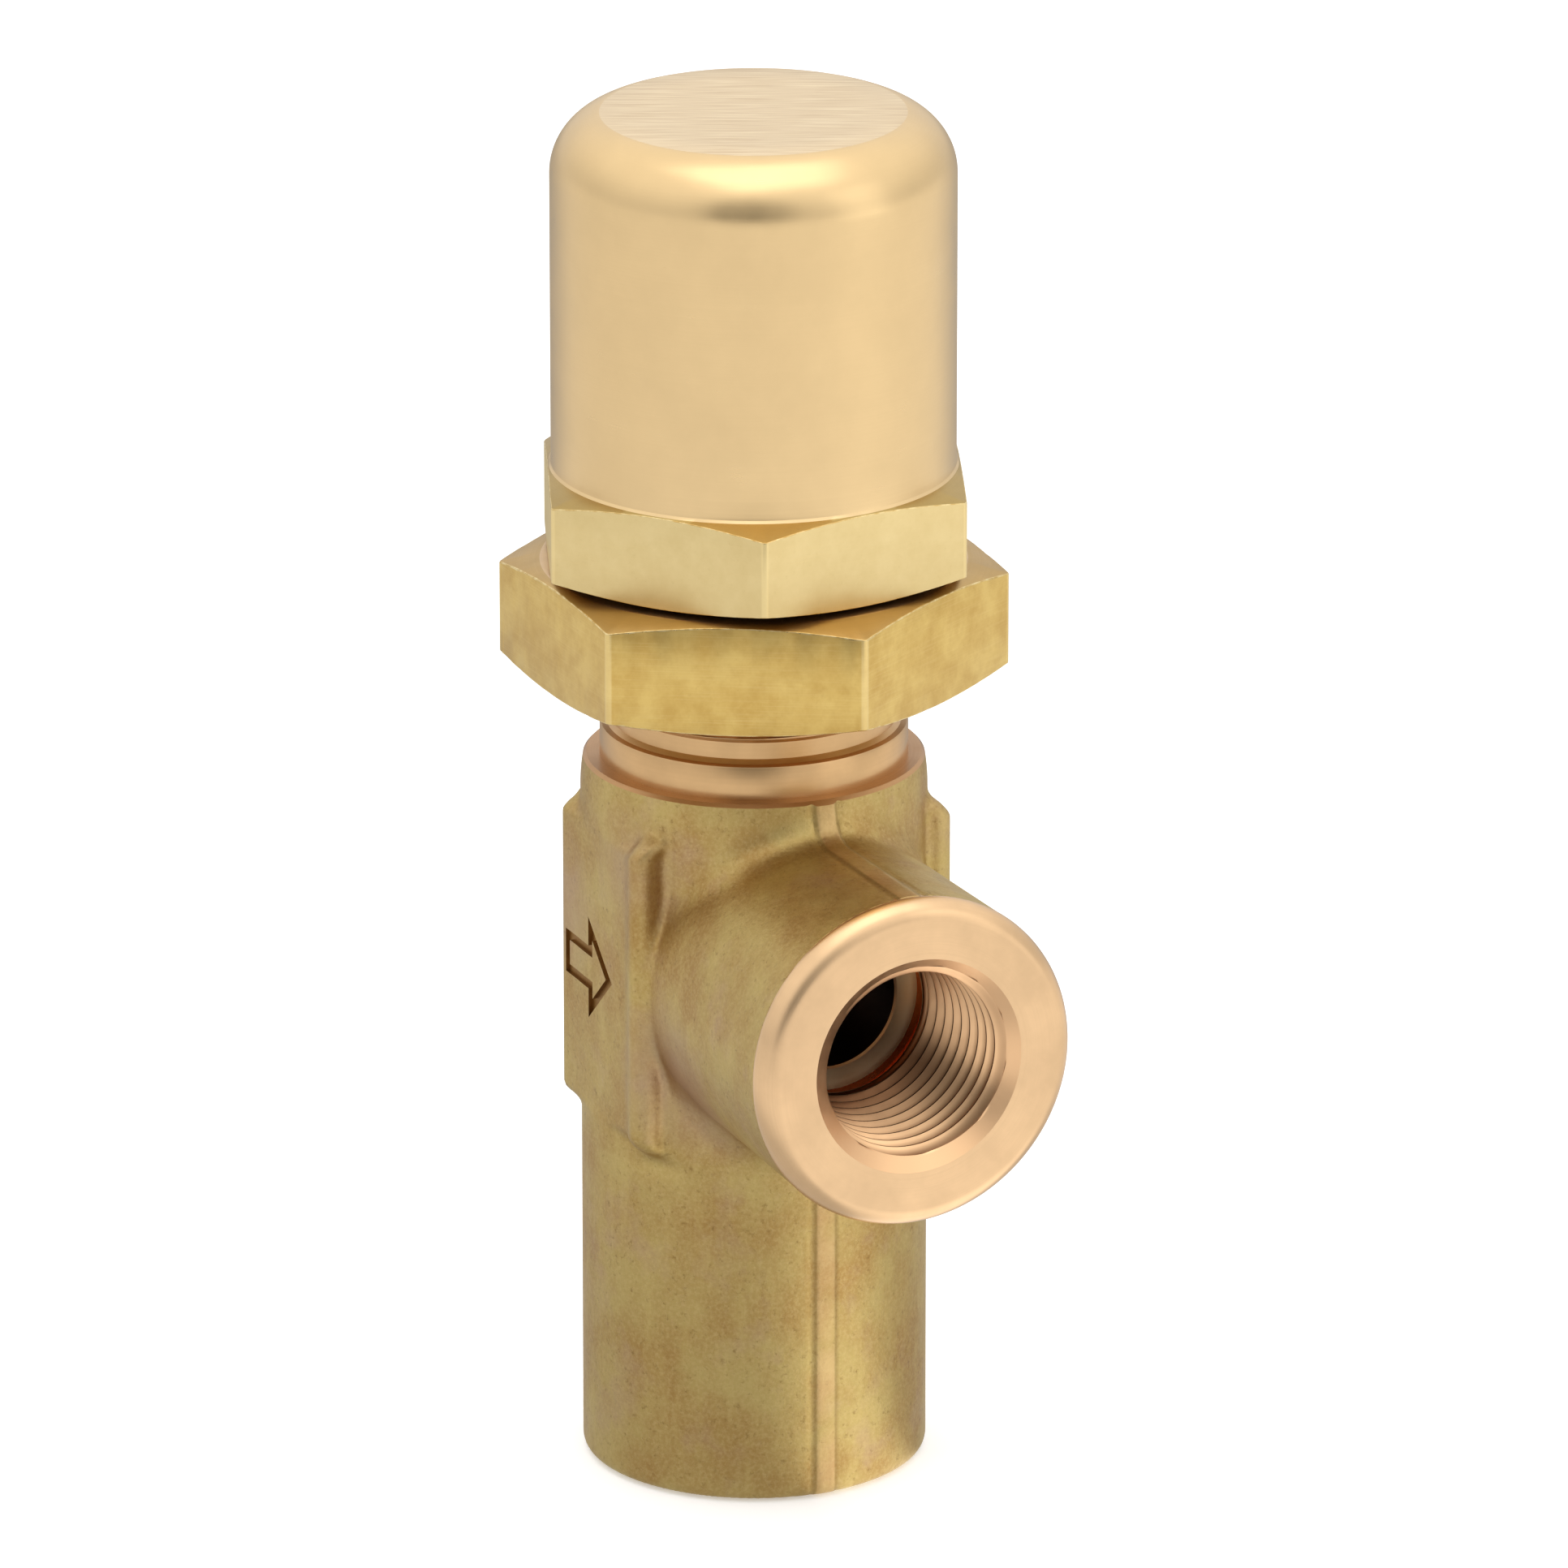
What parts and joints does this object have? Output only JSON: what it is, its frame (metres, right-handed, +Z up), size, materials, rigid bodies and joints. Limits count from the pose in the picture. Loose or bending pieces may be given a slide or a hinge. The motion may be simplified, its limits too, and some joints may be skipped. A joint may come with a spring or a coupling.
{
  "type": "pressure relief valve",
  "caption": "Spring-loaded brass angle relief valve with threaded bottom inlet and side outlet, hexagon lock nut and domed adjusting cap.",
  "frame": {"origin": "centre of the bounding box on the bottom plane of the inlet face; the barrel's own axis stands at x = -6.956 mm, y = 0", "axes": "+Z up along the barrel from the inlet to the adjusting cap, +X out of the outlet boss"},
  "size_m": [0.0652, 0.0472, 0.1411],
  "materials": {
    "forged_brass": "forged and tumbled skin, matte, olive to golden brown, machined faces pinkish",
    "turned_brass": "fine turned satin, pale gold",
    "nut_brass": "milled hexagon, satin yellow with light handling marks",
    "bronze": "turned bearing bronze",
    "stainless": "turned stainless steel",
    "spring_steel": "cold drawn and shot peened wire",
    "seal_rubber": "black moulded rubber",
    "seal_plastic": "natural white seal plastic"
  },
  "bodies": {
    "valve": {"valve_body": "forged_brass", "seat_ring": "stainless", "seat_ring_oring": "seal_rubber", "guide_bush": "bronze", "guide_bush_oring": "seal_rubber", "stem_oring": "seal_rubber", "stem_backup_ring": "seal_plastic", "retaining_ring": "spring_steel", "neck_oring": "seal_rubber", "main_spring": "spring_steel"},
    "poppet": {"poppet": "stainless", "poppet_seal": "seal_plastic", "seal_retainer": "stainless", "retainer_screw": "stainless", "lower_spring_seat": "stainless"},
    "upper_seat": {"upper_spring_seat": "stainless", "thrust_ball": "stainless"},
    "cap": {"adjusting_cap": "turned_brass", "thrust_disc": "stainless"},
    "nut": {"lock_nut": "nut_brass"}
  },
  "joints": [
    {"name": "poppet_lift", "type": "slide", "parent": "valve", "child": "poppet", "axis": [0, 0, 1], "range_m": [0, 0.0032], "stiffness_N_per_m": 8000, "springref_m": -0.004, "deforming": ["main_spring"]},
    {"name": "seat_rise", "type": "slide", "parent": "valve", "child": "upper_seat", "axis": [0, 0, 1], "range_m": [0, 0.00423], "deforming": ["main_spring"]},
    {"name": "cap_turn", "type": "hinge", "parent": "upper_seat", "child": "cap", "pos_m": [-0.00696, 0, 0.118], "axis": [0, 0, 1], "range_deg": [0, 720]},
    {"name": "nut_turn", "type": "hinge", "parent": "valve", "child": "nut", "pos_m": [-0.00696, 0, 0.089], "axis": [0, 0, 1], "range_deg": [-720, 0]}
  ],
  "couplings": [
    {"joint": "cap_turn", "follows": "seat_rise", "rad_per_m": 2968.4}
  ]
}
